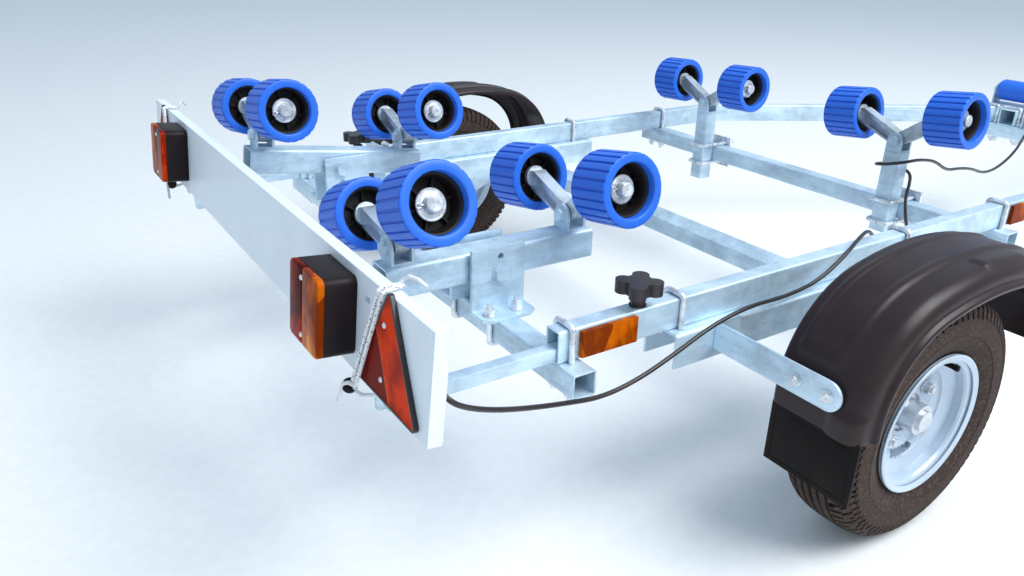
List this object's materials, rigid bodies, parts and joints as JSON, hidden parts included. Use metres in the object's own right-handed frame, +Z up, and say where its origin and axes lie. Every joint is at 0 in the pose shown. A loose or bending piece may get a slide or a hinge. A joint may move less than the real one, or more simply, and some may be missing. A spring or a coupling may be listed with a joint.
{
  "type": "boat trailer",
  "caption": "Galvanised single-axle boat trailer with rocking roller cradles, sliding lighting board, winch post and jockey wheel",
  "frame": {"origin": "on the ground under the middle of the overall bounding box, centred across the trailer", "axes": "+X forward to the coupling, +Y to the trailer's left side, +Z up"},
  "size_m": [4.6166, 1.642, 1.055],
  "materials": {
    "amber_lens": "clear moulded lens",
    "black_cable": "sheathed cable, satin",
    "black_plastic": "moulded, satin",
    "black_rubber": "matt",
    "blue_roller": "moulded, satin",
    "crank_steel": "galvanised pressing",
    "galvanised": "hot dip galvanised, weathered grey",
    "grey_rubber": "matt",
    "hub_steel": "bare, dull",
    "red_lens": "clear moulded lens",
    "silver_paint": "silver paint, satin",
    "tyre_rubber": "dusty road tyre",
    "white_cord": "woven elastic cord",
    "white_plastic": "white board, satin",
    "zinc_plate": "zinc plated, dull"
  },
  "bodies": {
    "chassis": {"axle_channels": "galvanised", "axle_tube": "galvanised", "bow_snubber": "black_rubber", "clamp_knobs": "black_plastic", "coupling_head": "zinc_plate", "cross_beams": "galvanised", "drawbar": "galvanised", "drawbar_gland": "black_rubber", "jockey_tube": "galvanised", "keel_bracket": "galvanised", "lighting_cable": "black_cable", "mud_flaps": "black_rubber", "mudguard_stays": "galvanised", "mudguards": "black_plastic", "rocker_brackets": "galvanised", "roller_posts": "galvanised", "side_rails": "galvanised", "side_reflectors": "amber_lens", "suspension_arms": "galvanised", "u_bolts": "zinc_plate", "winch": "zinc_plate", "winch_post": "galvanised"},
    "wheel_left": {"tyre_left": "tyre_rubber", "rim_left": "silver_paint", "hub_left": "hub_steel"},
    "wheel_right": {"tyre_right": "tyre_rubber", "rim_right": "silver_paint", "hub_right": "hub_steel"},
    "rocker_left": {"rocker_left": "galvanised"},
    "rocker_right": {"rocker_right": "galvanised"},
    "keel_roller": {"keel_roller": "blue_roller"},
    "light_board": {"light_board": "white_plastic", "board_arms": "galvanised", "lamp_housings": "black_plastic", "red_lenses": "red_lens", "amber_lenses": "amber_lens", "triangle_reflectors": "red_lens", "board_gland": "black_rubber", "elastic_cords": "white_cord", "cord_balls": "black_rubber"},
    "jockey_leg": {"jockey_leg": "zinc_plate"},
    "jockey_fork": {"jockey_fork": "zinc_plate"},
    "jockey_wheel": {"jockey_wheel": "grey_rubber"},
    "crank_right_rear": {"crank_right_rear": "crank_steel"},
    "rollers_right_rear": {"rollers_right_rear": "blue_roller"},
    "crank_right_front": {"crank_right_front": "crank_steel"},
    "rollers_right_front": {"rollers_right_front": "blue_roller"},
    "crank_right_post": {"crank_right_post": "crank_steel"},
    "rollers_right_post": {"rollers_right_post": "blue_roller"},
    "crank_left_rear": {"crank_left_rear": "crank_steel"},
    "rollers_left_rear": {"rollers_left_rear": "blue_roller"},
    "crank_left_front": {"crank_left_front": "crank_steel"},
    "rollers_left_front": {"rollers_left_front": "blue_roller"},
    "crank_left_post": {"crank_left_post": "crank_steel"},
    "rollers_left_post": {"rollers_left_post": "blue_roller"}
  },
  "joints": [
    {"name": "wheel_spin_left", "type": "hinge", "parent": "chassis", "child": "wheel_left", "pos_m": [-1.46866, 0.734, 0.208], "axis": [0, 1, 0], "continuous": true},
    {"name": "wheel_spin_right", "type": "hinge", "parent": "chassis", "child": "wheel_right", "pos_m": [-1.46866, -0.734, 0.208], "axis": [0, 1, 0], "continuous": true},
    {"name": "rocker_tilt_left", "type": "hinge", "parent": "chassis", "child": "rocker_left", "pos_m": [-1.97466, 0.302, 0.4165], "axis": [0, 1, 0], "range_deg": [-19.4, 4.6]},
    {"name": "rocker_tilt_right", "type": "hinge", "parent": "chassis", "child": "rocker_right", "pos_m": [-1.95866, -0.298, 0.397], "axis": [0, 1, 0], "range_deg": [-12.4, 11.6]},
    {"name": "crank_tilt_left_rear", "type": "hinge", "parent": "rocker_left", "child": "crank_left_rear", "pos_m": [-2.12236, 0.302, 0.49821], "axis": [0.9917, 0, -0.1288], "range_deg": [-13.6, 30.4]},
    {"name": "roller_spin_left_rear", "type": "hinge", "parent": "crank_left_rear", "child": "rollers_left_rear", "pos_m": [-2.11574, 0.3096, 0.54922], "axis": [-0.0188, 0.9893, -0.1449], "continuous": true},
    {"name": "crank_tilt_left_front", "type": "hinge", "parent": "rocker_left", "child": "crank_left_front", "pos_m": [-1.81098, 0.302, 0.45776], "axis": [0.9917, 0, -0.1288], "range_deg": [-9.9, 34.1]},
    {"name": "roller_spin_left_front", "type": "hinge", "parent": "crank_left_front", "child": "rollers_left_front", "pos_m": [-1.80443, 0.3129, 0.50818], "axis": [-0.027, 0.9778, -0.2079], "continuous": true},
    {"name": "crank_tilt_left_post", "type": "hinge", "parent": "chassis", "child": "crank_left_post", "pos_m": [-0.90196, 0.281, 0.453], "axis": [1, 0, 0], "range_deg": [-18.9, 25.1]},
    {"name": "roller_spin_left_post", "type": "hinge", "parent": "crank_left_post", "child": "rollers_left_post", "pos_m": [-0.90196, 0.28381, 0.50492], "axis": [0, 0.9985, -0.0541], "continuous": true},
    {"name": "crank_tilt_right_rear", "type": "hinge", "parent": "rocker_right", "child": "crank_right_rear", "pos_m": [-2.11522, -0.298, 0.46009], "axis": [1, 0, -0.007], "range_deg": [-2.3, 41.7]},
    {"name": "roller_spin_right_rear", "type": "hinge", "parent": "crank_right_rear", "child": "rollers_right_rear", "pos_m": [-2.11488, -0.28047, 0.50905], "axis": [-0.0024, 0.9415, -0.3371], "continuous": true},
    {"name": "crank_tilt_right_front", "type": "hinge", "parent": "rocker_right", "child": "crank_right_front", "pos_m": [-1.80123, -0.298, 0.4579], "axis": [1, 0, -0.007], "range_deg": [-12.4, 31.6]},
    {"name": "roller_spin_right_front", "type": "hinge", "parent": "crank_right_front", "child": "rollers_right_front", "pos_m": [-1.80087, -0.28933, 0.50917], "axis": [-0.0012, 0.986, -0.1668], "continuous": true},
    {"name": "crank_tilt_right_post", "type": "hinge", "parent": "chassis", "child": "crank_right_post", "pos_m": [-0.90196, -0.296, 0.475], "axis": [1, 0, 0], "range_deg": [-15.3, 28.7]},
    {"name": "roller_spin_right_post", "type": "hinge", "parent": "crank_right_post", "child": "rollers_right_post", "pos_m": [-0.90196, -0.28993, 0.52665], "axis": [0, 0.9932, -0.1167], "continuous": true},
    {"name": "keel_roller_spin", "type": "hinge", "parent": "chassis", "child": "keel_roller", "pos_m": [0.21534, 0, 0.432], "axis": [0, 1, 0], "continuous": true},
    {"name": "board_slide", "type": "slide", "parent": "chassis", "child": "light_board", "axis": [1, 0, 0], "range_m": [-0.45, 0]},
    {"name": "jockey_lift", "type": "slide", "parent": "chassis", "child": "jockey_leg", "axis": [0, 0, 1], "range_m": [-0.06, 0.08]},
    {"name": "jockey_swivel", "type": "hinge", "parent": "jockey_leg", "child": "jockey_fork", "pos_m": [1.97334, 0.061, 0.214], "axis": [0, 0, 1], "continuous": true},
    {"name": "jockey_spin", "type": "hinge", "parent": "jockey_fork", "child": "jockey_wheel", "pos_m": [1.92834, 0.061, 0.1], "axis": [0, 1, 0], "continuous": true}
  ]
}
